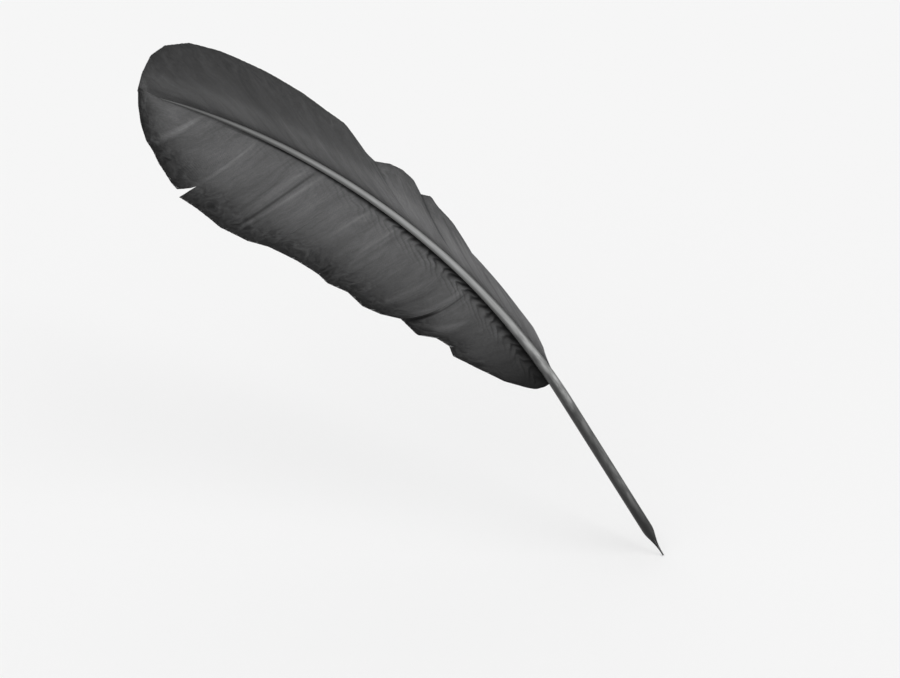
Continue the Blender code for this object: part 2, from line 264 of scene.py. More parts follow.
def spine_axes(along):
    """Directions at a place on the shaft: up it, out to the outer vane, and to the feather's back."""
    heading = PEN_HEADING - max(0.0, along - STRAIGHT_LENGTH) / ARC_RADIUS
    step = 0.0005
    up_shaft = (spine(along + step) - spine(along - step)).normalized()
    outward = math.sin(heading) * ACROSS + math.cos(heading) * UP_THE_PEN
    return up_shaft, outward, outward.cross(up_shaft)


def on_pen(along, out, raised):
    """The point at a place on the pen."""
    _, outward, back = spine_axes(along)
    return spine(along) + out * outward + raised * back


def on_wall(along, angle, radius):
    """A point on a round wall about the shaft's line; angle 0 is at the feather's back."""
    return on_pen(along, radius * math.sin(angle), radius * math.cos(angle))


# ---------------------------------------------------------------- node tree helpers

def wire(tree, kind, inputs=None, **settings):
    """Adds a node, sets its settings, and gives each input a value or the socket that feeds it."""
    node = tree.nodes.new(kind)
    for name, value in settings.items():
        setattr(node, name, value)
    for key, value in (inputs or {}).items():
        socket = node.inputs[key]
        if isinstance(value, bpy.types.NodeSocket):
            tree.links.new(value, socket)
        else:
            socket.default_value = value
    return node


def calc(tree, operation, *values):
    """A Math node's result."""
    return wire(tree, "ShaderNodeMath", dict(enumerate(values)), operation=operation).outputs[0]


def remap(tree, value, low, high, to_low, to_high, shape="SMOOTHSTEP"):
    """A Map Range node's result."""
    inputs = {"Value": value, "From Min": low, "From Max": high, "To Min": to_low, "To Max": to_high}
    return wire(tree, "ShaderNodeMapRange", inputs, interpolation_type=shape).outputs["Result"]


def vector(tree, x, y, z):
    return wire(tree, "ShaderNodeCombineXYZ", {"X": x, "Y": y, "Z": z}).outputs["Vector"]


# ---------------------------------------------------------------- barbs, by Geometry Nodes

def tree_input(tree, name, kind, default):
    """Adds a named input and gives the identifier that a modifier sets it by."""
    socket = tree.interface.new_socket(name=name, in_out="INPUT", socket_type=kind)
    if default is not None:
        socket.default_value = default
    return socket.identifier


def kept(tree, name, data_type="FLOAT_VECTOR"):
    """A value that was stored under a name."""
    found = wire(tree, "GeometryNodeInputNamedAttribute", {"Name": name}, data_type=data_type)
    return found.outputs["Attribute"]


def sample(tree, guide, value, place):
    """A value of the guide surface, read at a place on its barb map."""
    inputs = {"Mesh": guide, "Value": value, "UV Map": kept(tree, "barb_map"), "Sample UV": place}
    return wire(tree, "GeometryNodeSampleUVSurface", inputs, data_type="FLOAT_VECTOR").outputs["Value"]


def store(tree, geometry, name, value, data_type="FLOAT", domain="POINT"):
    """The geometry with a value kept on it under a name."""
    inputs = {"Geometry": geometry, "Name": name, "Value": value}
    node = wire(tree, "GeometryNodeStoreNamedAttribute", inputs, data_type=data_type, domain=domain)
    return node.outputs["Geometry"]


def barbs_tree():
    """Lays rows of barbs on a guide surface: each is a thin ridge with a wing either side."""
    tree = bpy.data.node_groups.new("barbs_on_guide", "GeometryNodeTree")
    tree.interface.new_socket(name="Guide", in_out="INPUT", socket_type="NodeSocketGeometry")
    sockets = {name: tree_input(tree, name, kind, default) for name, kind, default in BARB_INPUTS}
    tree.interface.new_socket(name="Barbs", in_out="OUTPUT", socket_type="NodeSocketGeometry")
    given = tree.nodes.new("NodeGroupInput").outputs

    tube_inputs = {"Vertices": 4, "Side Segments": given["Segments"], "Radius": 1.0, "Depth": 1.0}
    tube = wire(tree, "GeometryNodeMeshCylinder", tube_inputs, fill_type="NGON")
    total = calc(tree, "ADD", given["Barb Count"], given["Tucked Barbs"])
    rows = wire(tree, "GeometryNodePoints", {"Count": total})
    row_inputs = {"Points": rows.outputs["Points"], "Instance": tube.outputs["Mesh"]}
    repeated = wire(tree, "GeometryNodeInstanceOnPoints", row_inputs)
    index = wire(tree, "GeometryNodeInputIndex").outputs["Index"]
    numbered = store(tree, repeated.outputs["Instances"], "barb", index, domain="INSTANCE")
    realised = wire(tree, "GeometryNodeRealizeInstances", {"Geometry": numbered}).outputs["Geometry"]

    barb = kept(tree, "barb", "FLOAT")
    local = wire(tree, "GeometryNodeInputPosition").outputs["Position"]
    local = wire(tree, "ShaderNodeSeparateXYZ", {"Vector": local}).outputs
    across, height = local["X"], local["Y"]
    along_barb = calc(tree, "ADD", local["Z"], 0.5)

    chance_inputs = {"ID": barb, "Seed": given["Seed"]}
    chance = wire(tree, "FunctionNodeRandomValue", chance_inputs, data_type="FLOAT").outputs[1]
    shortened = calc(tree, "SUBTRACT", 1.0, calc(tree, "MULTIPLY", chance, given["Fray"]))
    reach = calc(tree, "MULTIPLY", along_barb, shortened)
    taper_start = calc(tree, "SUBTRACT", 1.0, given["Tip Taper"])
    width = remap(tree, along_barb, taper_start, 1.0, 1.0, TIP_WIDTH, "LINEAR")

    along_wave = calc(tree, "MULTIPLY", reach, WANDER_ALONG)
    wave_place = vector(tree, calc(tree, "MULTIPLY", barb, WANDER_ACROSS), along_wave, given["Seed"])
    wave_inputs = {"Vector": wave_place, "Scale": 1.0, "Detail": 1.0}
    wave = wire(tree, "ShaderNodeTexNoise", wave_inputs).outputs["Fac"]
    wave = calc(tree, "MULTIPLY", calc(tree, "SUBTRACT", wave, 0.5), given["Wander"])
    wing = calc(tree, "MULTIPLY", calc(tree, "MULTIPLY", across, given["Wing Reach"]), width)
    row = calc(tree, "ADD", calc(tree, "ADD", barb, 0.5), wing)
    row = calc(tree, "ADD", row, calc(tree, "MULTIPLY", wave, reach))
    share = calc(tree, "DIVIDE", row, given["Barb Count"])
    inset = GUIDE_MARGIN / (1.0 + 2.0 * GUIDE_MARGIN)
    map_u = remap(tree, share, 0.0, 1.0, inset, 1.0 - inset, "LINEAR")
    map_u.node.clamp = False
    place = vector(tree, map_u, calc(tree, "MULTIPLY", reach, REACH_LIMIT), 0.0)

    guide = given["Guide"]
    position = sample(tree, guide, wire(tree, "GeometryNodeInputPosition").outputs["Position"], place)
    normal = sample(tree, guide, wire(tree, "GeometryNodeInputNormal").outputs["Normal"], place)
    vane_place = sample(tree, guide, kept(tree, "vane_place"), place)

    body = calc(tree, "MULTIPLY", calc(tree, "MULTIPLY", height, given["Wing Thickness"]), 0.5)
    crest = calc(tree, "SUBTRACT", 1.0, calc(tree, "ABSOLUTE", across))
    crest = calc(tree, "MULTIPLY", calc(tree, "MULTIPLY", crest, given["Ridge Height"]), height)
    lean = calc(tree, "MULTIPLY", across, given["Wing Tilt"])
    rise = calc(tree, "ADD", calc(tree, "MULTIPLY", calc(tree, "ADD", body, crest), width), lean)
    lifted = wire(tree, "ShaderNodeVectorMath", {0: normal, "Scale": rise}, operation="SCALE").outputs[0]
    laid = wire(tree, "ShaderNodeVectorMath", {0: position, 1: lifted}, operation="ADD").outputs[0]

    marked = store(tree, realised, "along_barb", along_barb)
    marked = store(tree, marked, "across_barb", across)
    marked = store(tree, marked, "barb_tone", chance)
    marked = store(tree, marked, "vane_place", vane_place, "FLOAT_VECTOR")
    shaped = wire(tree, "GeometryNodeSetPosition", {"Geometry": marked, "Position": laid})
    shaped = shaped.outputs["Geometry"]
    smooth = wire(tree, "GeometryNodeSetShadeSmooth", {"Geometry": shaped}).outputs["Geometry"]
    whole = wire(tree, "GeometryNodeRealizeInstances", {"Geometry": smooth}).outputs["Geometry"]
    finished = wire(tree, "GeometryNodeSetMaterial", {"Geometry": whole, "Material": given["Finish"]})
    wire(tree, "NodeGroupOutput", {"Barbs": finished.outputs["Geometry"]})
    return tree, sockets


def clump_surface(vane, number):
    """place(u, v) for one clump: u runs over its barbs' roots and v along each barb to its tip."""
    clump = vane.clumps[number - 1]
    below = vane.clumps[number - 2] if number > 1 else None
    above = vane.clumps[number] if number < len(vane.clumps) else None
    last = len(clump) - 1
    own_first, own_last = Vector(clump[0].tip), Vector(clump[last].tip)
    first_split = (own_first - Vector(below[-1].tip)) / 2 if below else Vector((0.0, 0.0))
    last_split = (own_last - Vector(above[0].tip)) / 2 if above else Vector((0.0, 0.0))
    first_lift = TUCK_RISES * vane.tucks.get(number - 1, 0.0)
    last_lift = -TUCK_SINKS * vane.tucks.get(number, 0.0)

    def place(u, v):
        root_along = mix(clump[0].root, clump[last].root, u)
        index = 0
        while index < last - 1 and root_along > clump[index + 1].root:
            index += 1
        low, high = clump[index], clump[index + 1]
        share = (root_along - low.root) / (high.root - low.root)
        shaft_width = fair(SHAFT_STATIONS, max(root_along, BARREL_TOP), 1)
        root = Vector((root_along, shaft_width * ROOT_INSET))
        split = first_split.lerp(last_split, u)
        tip = Vector(low.tip).lerp(Vector(high.tip), share) - split
        angle = math.radians(mix(low.angle, high.angle, share))
        elbow = root + Vector((math.cos(angle), math.sin(angle))) * (tip - root).length * vane.elbow
        on_barb = root * (1 - v) ** 2 + elbow * 2 * v * (1 - v) + tip * v * v
        on_barb += split * max(0.0, (v - SPLIT_FROM) / (1 - SPLIT_FROM))
        along, out = on_barb
        lift = first_lift * (1 - ease(u / TUCK_EDGE)) + last_lift * (1 - ease((1 - u) / TUCK_EDGE))
        raised = lift * ease((v - TUCK_FROM) / TUCK_RUN) - vane.slope * abs(out) - vane.curve * out * out
        return along, vane.side * out, raised, root_along

    return place


def guide_object(name, surface):
    """A clump's surface as a mesh, with its own map of barbs and the place of each point on the vane."""
    work = bmesh.new()
    bmesh.ops.create_grid(work, x_segments=GUIDE_COLUMNS, y_segments=GUIDE_ROWS, size=0.5)
    places, maps = {}, {}
    for vertex in work.verts:
        map_u, map_v = vertex.co.x + 0.5, vertex.co.y + 0.5
        u = map_u * (1 + 2 * GUIDE_MARGIN) - GUIDE_MARGIN
        along, out, raised, root_along = surface(u, map_v)
        places[vertex.index] = (along, out, root_along)
        maps[vertex.index] = (map_u, map_v)
        vertex.co = on_pen(along, out, raised)
    for face in work.faces:
        face.smooth = True
    mesh = bpy.data.meshes.new(name)
    work.to_mesh(mesh)
    work.free()
    barb_map = mesh.uv_layers.new(name="barb_map")
    for loop in mesh.loops:
        barb_map.data[loop.index].uv = maps[loop.vertex_index]
    vane_place = mesh.attributes.new("vane_place", "FLOAT_VECTOR", "POINT")
    for vertex in mesh.vertices:
        vane_place.data[vertex.index].vector = places[vertex.index]
    made = bpy.data.objects.new(name, mesh)
    bpy.context.scene.collection.objects.link(made)
    return made


def build_clump(vane, number, tree, sockets, finish, seed):
    """One clump of barbs as a plain mesh that stands for its plate in the frame."""
    clump = vane.clumps[number - 1]
    name = f"{vane.name}_barbs_{number}"
    guide = guide_object(name + "_guide", clump_surface(vane, number))
    modifier = guide.modifiers.new("barbs", "NODES")
    modifier.node_group = tree
    modifier[sockets["Barb Count"]] = round((clump[-1].root - clump[0].root) / vane.pitch)
    modifier[sockets["Tucked Barbs"]] = TUCKED_BARBS if number in vane.tucks else 0
    modifier[sockets["Seed"]] = seed
    modifier[sockets["Finish"]] = finish
    bpy.context.view_layer.update()
    evaluated = guide.evaluated_get(bpy.context.evaluated_depsgraph_get())
    mesh = bpy.data.meshes.new_from_object(evaluated)
    mesh.name = name
    guide.modifiers.remove(modifier)
    bpy.data.objects.remove(guide)
    made = bpy.data.objects.new(name, mesh)
    bpy.context.scene.collection.objects.link(made)
    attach(made, "quill")
    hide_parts(f"{vane.name}_vane_{number}")


# ---------------------------------------------------------------- shaft, barrel and nib

def finished_mesh(name, work, places, finish):
    """Turns a bmesh into an object in the scene, with the place of each point on the pen."""
    in_order = [places[vertex] for vertex in work.verts]
    mesh = bpy.data.meshes.new(name)
    work.to_mesh(mesh)
    work.free()
    pen_place = mesh.attributes.new("pen_place", "FLOAT_VECTOR", "POINT")
    for entry, place in zip(pen_place.data, in_order):
        entry.vector = place
    mesh.materials.append(finish)
    mesh.shade_smooth()
    mesh.set_sharp_from_angle(angle=SHARP_ANGLE)
    made = bpy.data.objects.new(name, mesh)
    bpy.context.scene.collection.objects.link(made)
    return made


def shaft_section(along, inset):
    """One ring of the shaft: round at the barrel, then a rounded square with a groove below."""
    half_width = fair(SHAFT_STATIONS, along, 1) / 2 - inset
    half_depth = fair(SHAFT_STATIONS, along, 2) / 2 - inset
    squared = ease((along - SQUARE_FROM) / (SQUARE_BY - SQUARE_FROM))
    power = ROUND_POWER + SQUARENESS * squared
    ring = []
    for i in range(SHAFT_SIDES):
        angle = 2 * math.pi * i / SHAFT_SIDES
        out = math.copysign(abs(math.sin(angle)) ** (2 / power), math.sin(angle))
        raised = math.copysign(abs(math.cos(angle)) ** (2 / power), math.cos(angle))
        if inset == 0:
            groove = math.exp(-(((angle - math.pi) / GROOVE_HALF_ANGLE) ** 2))
            raised += GROOVE_DEPTH * squared * groove
        ring.append((along, half_width * out, half_depth * raised))
    return ring


def join_rings(work, rings):
    """A closed shell through rings of points, capped at both ends."""
    sides = len(rings[0])
    for lower, upper in zip(rings, rings[1:]):
        for i in range(sides):
            j = (i + 1) % sides
            work.faces.new((lower[i], lower[j], upper[j], upper[i]))
    work.faces.new(rings[0][::-1])
    work.faces.new(rings[-1])


def build_shaft(finish):
    """The shaft as one shell: down the bore from its end to the barrel, then up the outside."""
    work, places = bmesh.new(), {}

    def ring(along, inset):
        made = []
        for place in shaft_section(along, inset):
            vertex = work.verts.new(on_pen(*place))
            places[vertex] = place
            made.append(vertex)
        return made

    outer = [ring(mix(BARREL_TOP, SHAFT_LENGTH, i / SHAFT_ROWS), 0.0) for i in range(SHAFT_ROWS + 1)]
    inner = [ring(mix(BORE_END, BARREL_TOP, i / BORE_ROWS), SHAFT_WALL) for i in range(BORE_ROWS + 1)]
    join_rings(work, inner + outer)
    bmesh.ops.recalc_face_normals(work, faces=work.faces)
    made = finished_mesh("quill_shaft", work, places, finish)
    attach(made, "quill")
    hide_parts("shaft")


def wall_half_angle(along):
    """How far round from the feather's back the nib's wall reaches, between point and shoulders."""
    cheek = (along / NIB_LENGTH) ** SHOULDER_POWER
    return mix(POINT_HALF_ANGLE, math.pi / 2, cheek)


def nib_wall(along):
    """The wall's thickness, thin at the nib's point."""
    return mix(POINT_WALL, BARREL_WALL, ease(along / SCRAPED_LENGTH))


def wall_sheet(name, columns, rows, place, finish):
    """A curved wall with two skins and a rim, from place(u, v) giving along and angle."""
    work = bmesh.new()
    bmesh.ops.create_grid(work, x_segments=columns, y_segments=rows, size=0.5)
    shape = {}
    for vertex in work.verts:
        shape[vertex] = place(vertex.co.x + 0.5, vertex.co.y + 0.5)
        vertex.co = on_wall(*shape[vertex], BARREL_RADIUS)
    bmesh.ops.remove_doubles(work, verts=work.verts, dist=MERGE_DISTANCE)
    shape = {vertex: spot for vertex, spot in shape.items() if vertex.is_valid}
    skin = list(work.faces)
    inside, places = {}, {}
    for vertex, (along, angle) in shape.items():
        inner = BARREL_RADIUS - nib_wall(along)
        inside[vertex] = work.verts.new(on_wall(along, angle, inner))
        for point, radius in ((vertex, BARREL_RADIUS), (inside[vertex], inner)):
            places[point] = (along, radius * math.sin(angle), radius * math.cos(angle))
    for face in skin:
        work.faces.new([inside[vertex] for vertex in reversed(face.verts)])
    for edge in [e for e in work.edges if e.is_boundary and e.verts[0] in inside]:
        loop = edge.link_loops[0]
        start, end = loop.vert, loop.link_loop_next.vert
        work.faces.new((end, start, inside[start], inside[end]))
    bmesh.ops.recalc_face_normals(work, faces=work.faces)
    return finished_mesh(name, work, places, finish)


def build_barrel(finish):
    """The hollow barrel with its scooped underside, down to the shoulders of the nib."""

    def place(u, v):
        if v < SCOOP_ROWS_SHARE:
            turn = v / SCOOP_ROWS_SHARE * math.pi / 2
            along = NIB_LENGTH + SCOOP_LENGTH * math.sin(turn)
            half = math.pi - math.pi / 2 * math.cos(turn)
        else:
            share = (v - SCOOP_ROWS_SHARE) / (1 - SCOOP_ROWS_SHARE)
            along = mix(NIB_LENGTH + SCOOP_LENGTH, BARREL_TOP, share)
            half = math.pi
        return along, half * (2 * u - 1)

    made = wall_sheet("quill_barrel", BARREL_COLUMNS, BARREL_ROWS, place, finish)
    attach(made, "quill")
    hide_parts("barrel")


def build_nib_half(name, node, side, finish):
    """One half of the nib, from its point up to the shoulders."""

    def place(u, v):
        along = NIB_LENGTH * v
        closing = ease((along - (1 - SLIT_CLOSES) * SLIT_LENGTH) / (SLIT_CLOSES * SLIT_LENGTH))
        slit_edge = SLIT_GAP / 2 / BARREL_RADIUS * (1 - closing)
        angle = mix(slit_edge, wall_half_angle(along), u if side > 0 else 1 - u)
        return along, side * angle

    made = wall_sheet(name, TINE_COLUMNS, TINE_ROWS, place, finish)
    spine(SLIT_LENGTH + FLEX_REACH)
    spine(SLIT_LENGTH - FLEX_REACH)
    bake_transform(made)
    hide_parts(node)


# ---------------------------------------------------------------- finishes

# All places and lengths in the finishes are in millimetres
MILLIMETRES = 1000.0
NOISE_LOW = 0.3                     # noise keeps mostly between these two
NOISE_HIGH = 0.7

# Tones: each a place along the shaft, or a share of the barb, and its brightness
OUTER_ROOT_TONES = (
    (93, 0.17), (115, 0.195), (145, 0.20), (175, 0.185), (200, 0.135), (235, 0.105), (275, 0.093),
    (293, 0.095), (297, 0.13), (300, 0.13),
)
OUTER_REACH_TONES = ((0.0, 0.9), (0.25, 0.95), (0.55, 0.88), (0.8, 0.80), (0.95, 0.72), (1.0, 0.60))
INNER_ROOT_TONES = (
    (95, 0.009), (101, 0.016), (110, 0.036), (122, 0.066), (140, 0.092), (170, 0.111), (215, 0.132),
    (250, 0.127), (280, 0.122), (300, 0.125),
)
INNER_REACH_TONES = ((0.0, 0.9), (0.2, 1.0), (0.5, 0.80), (0.7, 0.50), (0.86, 0.26), (1.0, 0.08))
# Painted light and shade on the outer vane, by the distance from the shaft: shaded right beside it, lit a
# few millimetres out
LIT_BAND = (
    (0.0, 0.56), (1.8, 0.64), (4.0, 0.96), (7.0, 1.0), (11.0, 0.75), (16.0, 0.66), (27.0, 0.62),
)
# By the distance from the nib's point; the darker tone of the barrel below about 100 mm is painted shade
SHAFT_TONES = (
    (0, 0.24), (88, 0.24), (102, 0.285), (150, 0.30), (200, 0.29), (240, 0.22), (275, 0.14), (302, 0.095),
)
# Painted highlight and painted shade round the shaft, by the angle in radians from the feather's back;
# negative is the inner vane's side
PAINTED_LIGHT_ROUND_SHAFT = (
    (-3.47, 0.40), (-1.5, 0.15), (-0.8, 0.19), (-0.4, 0.34), (-0.05, 0.78), (0.3, 1.0), (0.6, 0.85),
    (0.95, 0.52), (1.4, 0.40), (3.15, 0.40),
)

OUTER_MOTTLING = 0.18               # how far the margin's mottles go either way, as a share
INNER_MOTTLING = 0.62
RIPPLE_PITCH = 4.5
SHADOW_WIDTH = 7.4                  # of the painted shadow beside the shaft, at the barrel's end
SHADOW_WIDTH_FAR = 1.4              # and far up the vane
BARBULES = 420.0                    # radians of their wave along a whole barb
STREAK_FADE_IN = 0.12               # shares of a barb over which a streak comes and goes
STREAK_FADE_OUT = 0.10
STAIN_TOP = 80.0                    # dried ink reaches this far up the barrel
DIP_LINE = (16.0, 38.0)             # the nib is blackest below the first, and clear above the second

# Each: root, lean, half width, flare, strength, start and end along the barb. Lean and flare are how
# far it shifts and widens over a whole barb; a negative half width opens as a wedge part way out.
OUTER_STREAKS = (
    # The next two are painted shadow along the creases where the fourth and fifth clumps lie over the
    # ones below
    (156.4, 0.0, 1.2, 0.0, -0.40, 0.3, 1.2),
    (180.6, 0.0, 0.9, 0.0, -0.25, 0.1, 1.2),
    (112.0, 8.0, 2.0, 0.0, -0.20, 0.1, 0.8),
    (124.0, 7.0, 2.4, 0.0, -0.25, 0.1, 0.8),
    (141.0, 6.0, 2.4, 0.0, -0.28, 0.1, 0.9),
    (133.0, 7.0, 2.6, 0.0, 0.14, 0.1, 0.9),
)
INNER_STREAKS = (
    # The next three are painted shadow in the crease where the fourth clump lies over the third, and a
    # painted highlight beside it
    (149.2, -1.6, 0.5, 0.4, -0.42, 0.10, 1.2),
    (149.5, -1.3, 0.45, 1.4, -0.95, 0.52, 0.93),
    (146.8, -1.0, 0.8, 0.3, 0.16, 0.0, 0.5),
    (151.2, 0.5, 1.2, 1.0, 0.22, 0.1, 0.8),
    (137.0, 5.0, -2.2, 11.0, 0.50, 0.34, 0.74),
    (162.0, 2.0, 1.2, 0.5, 0.22, 0.15, 0.95),
    (157.5, 2.0, 1.5, 0.5, -0.18, 0.2, 0.95),
    (189.5, 0.0, 1.2, 0.0, 0.22, 0.0, 0.5),
    (186.0, 0.0, 1.4, 0.0, -0.15, 0.0, 0.6),
    (202.3, 1.0, 1.0, 0.5, 0.25, 0.1, 0.45),
    (227.0, 3.0, 1.4, 0.5, 0.40, 0.05, 0.85),
    (230.4, 1.0, 1.0, 0.3, -0.48, 0.05, 0.85),
    (237.5, -1.0, 1.4, 0.3, -0.20, 0.2, 0.7),
    (234.0, 0.0, 1.2, 0.3, 0.20, 0.0, 0.6),
    (258.0, -1.2, 0.8, 0.5, 0.32, 0.1, 0.65),
    (283.0, -3.0, 1.4, 2.4, 0.60, 0.1, 1.2),
    (288.6, 0.0, 3.0, 0.0, -0.55, 0.9, 1.2),
)


def new_material(name, roughness):
    """A material, its node tree and its shader."""
    made = bpy.data.materials.new(name)
    made.use_nodes = True
    shader = made.node_tree.nodes["Principled BSDF"]
    shader.inputs["Roughness"].default_value = roughness
    return made, made.node_tree, shader


def stored_place(tree, name):
    """The three numbers of a stored place, in millimetres."""
    place = wire(tree, "ShaderNodeAttribute", attribute_name=name).outputs["Vector"]
    inputs = {0: place, "Scale": MILLIMETRES}
    scaled = wire(tree, "ShaderNodeVectorMath", inputs, operation="SCALE").outputs[0]
    parts = wire(tree, "ShaderNodeSeparateXYZ", {"Vector": scaled}).outputs
    return parts["X"], parts["Y"], parts["Z"]


def noise(tree, x, y, z, detail=2.0, roughness=0.5):
    inputs = {"Vector": vector(tree, x, y, z), "Scale": 1.0, "Detail": detail, "Roughness": roughness}
    return wire(tree, "ShaderNodeTexNoise", inputs).outputs["Fac"]


def spread(tree, value, low, high):
    """Stretches noise evenly over a range."""
    return remap(tree, value, NOISE_LOW, NOISE_HIGH, low, high, "LINEAR")


def grey(tree, tone, cast):
    """A tone as a colour, with each of red, green and blue times its share of the cast."""
    tinted = [calc(tree, "MULTIPLY", tone, share) for share in cast]
    mixed = {"Red": tinted[0], "Green": tinted[1], "Blue": tinted[2]}
    return wire(tree, "ShaderNodeCombineColor", mixed).outputs["Color"]


def attribute(tree, name):
    """A stored number."""
    return wire(tree, "ShaderNodeAttribute", attribute_name=name).outputs["Fac"]


def curve(tree, value, points):
    """A smooth curve through points, each a value and its result; results from 0 to 1."""
    low, high = points[0][0], points[-1][0]
    share = remap(tree, value, low, high, 0.0, 1.0, "LINEAR")
    node = wire(tree, "ShaderNodeFloatCurve", {"Value": share})
    line = node.mapping.curves[0].points
    for _ in points[2:]:
        line.new(0.5, 0.5)
    for spot, (at, result) in zip(line, points):
        spot.location = ((at - low) / (high - low), result)
    node.mapping.update()
    return node.outputs["Value"]


def multiply(tree, *factors):
    result = factors[0]
    for factor in factors[1:]:
        result = calc(tree, "MULTIPLY", result, factor)
    return result


def streak(tree, root, along_barb, at, lean, half_width, flare, strength, start, end):
    """A line along the barbs that starts from root at: 1 off the line, and 1 + strength on it."""
    line = calc(tree, "ADD", at, multiply(tree, along_barb, lean))
    off_line = calc(tree, "ABSOLUTE", calc(tree, "SUBTRACT", root, line))
    width = calc(tree, "ADD", half_width, multiply(tree, along_barb, flare))
    near = remap(tree, calc(tree, "DIVIDE", off_line, width), 0.0, 1.0, 1.0, 0.0)
    started = remap(tree, along_barb, start - STREAK_FADE_IN, start + STREAK_FADE_IN, 0.0, 1.0)
    ended = remap(tree, along_barb, end - STREAK_FADE_OUT, end + STREAK_FADE_OUT, 1.0, 0.0)
    return calc(tree, "ADD", 1.0, multiply(tree, near, started, ended, strength))


def beside_shaft(tree, root, along, reach):
    """The inner vane by the shaft: a painted shadow of the shaft and its groove, then painted ripples of
    light and shade, each bowed towards the feather's tip.
    """
    fade = remap(tree, along, 240.0, 285.0, 0.0, 1.0)
    shadow_width = remap(tree, along, 95.0, 235.0, SHADOW_WIDTH, SHADOW_WIDTH_FAR, "LINEAR")
    from_shaft = calc(tree, "DIVIDE", calc(tree, "SUBTRACT", reach, 1.2), shadow_width)

    # Painted ripples of light and shade for small folds in the vane: each one's line across the barbs is
    # a rounded V whose point lies some millimetres off the shaft
    from_bow = calc(tree, "SUBTRACT", reach, remap(tree, root, 105.0, 220.0, 6.2, 3.0, "LINEAR"))
    bowed = calc(tree, "SQRT", calc(tree, "ADD", multiply(tree, from_bow, from_bow), 1.2))
    bend = calc(tree, "ADD", multiply(tree, bowed, 1.75), multiply(tree, from_bow, 0.55))
    wobble = noise(tree, multiply(tree, root, 0.12), multiply(tree, reach, 0.25), 2.0, 1.0)
    phase = calc(tree, "ADD", calc(tree, "ADD", root, bend), multiply(tree, wobble, 9.0))
    phase = multiply(tree, phase, 2.0 * math.pi / RIPPLE_PITCH)
    finer = calc(tree, "SINE", calc(tree, "ADD", multiply(tree, phase, 2.0), 0.8))
    painted_ripples = calc(tree, "ADD", calc(tree, "SINE", phase), multiply(tree, finer, 0.35))
    painted_ripples = multiply(tree, painted_ripples, remap(tree, root, 155.0, 245.0, 1.0, 0.15))
    painted_ripples = multiply(tree, painted_ripples, remap(tree, wobble, 0.35, 0.6, 0.6, 1.0))

    # The painted ripples eat into the painted shadow's edge, and run on as fainter lines past it
    uneven = calc(tree, "ADD", from_shaft, multiply(tree, painted_ripples, 0.13))
    band = calc(tree, "MAXIMUM", remap(tree, uneven, 0.15, 0.95, 0.08, 1.0), fade)
    lines = multiply(tree, painted_ripples, remap(tree, reach, 4.0, 12.5, 0.27, 0.0))
    return multiply(tree, band, calc(tree, "ADD", 1.0, lines))


def barb_finish(name, root_tones, reach_tones, streaks, mottling, lit):
    """Dark grey vane with streaks along its barbs and a soft, mottled, darker margin.

    lit is True for the outer vane, which gets a painted highlight beside the shaft; the inner one gets a
    painted shadow and painted ripples there instead.
    """
    made, tree, shader = new_material(name, 0.6)
    along, out, root = stored_place(tree, "vane_place")
    reach = calc(tree, "ABSOLUTE", out)
    along_barb = attribute(tree, "along_barb")
    across_barb = calc(tree, "ABSOLUTE", attribute(tree, "across_barb"))
    chance = attribute(tree, "barb_tone")

    def drawn_out(start, scale, barb_scale, layer, detail=2.0, roughness=0.5):
        """Noise drawn out along the barbs; each layer is a pattern of its own."""
        x, y = multiply(tree, start, scale), multiply(tree, along_barb, barb_scale)
        return noise(tree, x, y, layer, detail, roughness)

    swirl = spread(tree, drawn_out(root, 0.10, 2.5, 6.0), -3.0, 3.0)
    swirled = calc(tree, "ADD", root, swirl)
    broad = drawn_out(swirled, 0.16, 1.1, 3.0)
    fine = drawn_out(swirled, 0.8, 2.2, 9.0, 3.0, 0.6)
    grain = noise(tree, multiply(tree, root, 2.2), multiply(tree, reach, 1.6), multiply(tree, along, 0.2))
    margin = curve(tree, along_barb, reach_tones)
    margin_strength = remap(tree, root, 105.0, 148.0, 0.25, 1.0)
    barb_edge = calc(tree, "POWER", across_barb, 3.0)
    shade = multiply(
        tree,
        curve(tree, root, root_tones),
        calc(tree, "POWER", margin, margin_strength),
        spread(tree, broad, 0.84, 1.16),
        spread(tree, fine, 0.91, 1.09),
        spread(tree, grain, 0.93, 1.07),
        remap(tree, chance, 0.0, 1.0, 0.95, 1.05, "LINEAR"),
        remap(tree, barb_edge, 0.0, 1.0, 1.04, 0.84, "LINEAR"),
    )
    for one in streaks:
        shade = multiply(tree, shade, streak(tree, root, along_barb, *one))

    mottle_place = vector(tree, multiply(tree, root, 0.20), multiply(tree, along_barb, 6.0), 5.0)
    mottle_inputs = {"Vector": mottle_place, "Scale": 1.0, "Detail": 3.0, "Distortion": 2.2}
    mottle = wire(tree, "ShaderNodeTexNoise", mottle_inputs).outputs["Fac"]
    mottle = spread(tree, mottle, -mottling, mottling)
    mottle = multiply(tree, mottle, remap(tree, along_barb, 0.58, 0.88, 0.10, 1.0))
    shade = multiply(tree, shade, calc(tree, "ADD", 1.0, mottle))

    # Painted light and shade beside the shaft
    painted_light_by_shaft = curve(tree, reach, LIT_BAND) if lit else beside_shaft(tree, root, along, reach)
    shade = multiply(tree, shade, painted_light_by_shaft)
    tree.links.new(grey(tree, shade, (1.0, 1.0, 1.01)), shader.inputs["Base Color"])

    barbules = calc(tree, "ADD", multiply(tree, along_barb, BARBULES), multiply(tree, across_barb, 9.0))
    barbules = calc(tree, "SINE", barbules)
    bump = wire(tree, "ShaderNodeBump", {"Strength": 0.2, "Distance": 0.00004, "Height": barbules})
    tree.links.new(bump.outputs["Normal"], shader.inputs["Normal"])
    rough = remap(tree, chance, 0.0, 1.0, 0.60, 0.74, "LINEAR")
    tree.links.new(rough, shader.inputs["Roughness"])
    shader.inputs["Sheen Weight"].default_value = 0.04
    shader.inputs["Sheen Roughness"].default_value = 0.4
    shader.inputs["Specular IOR Level"].default_value = 0.18
    return made


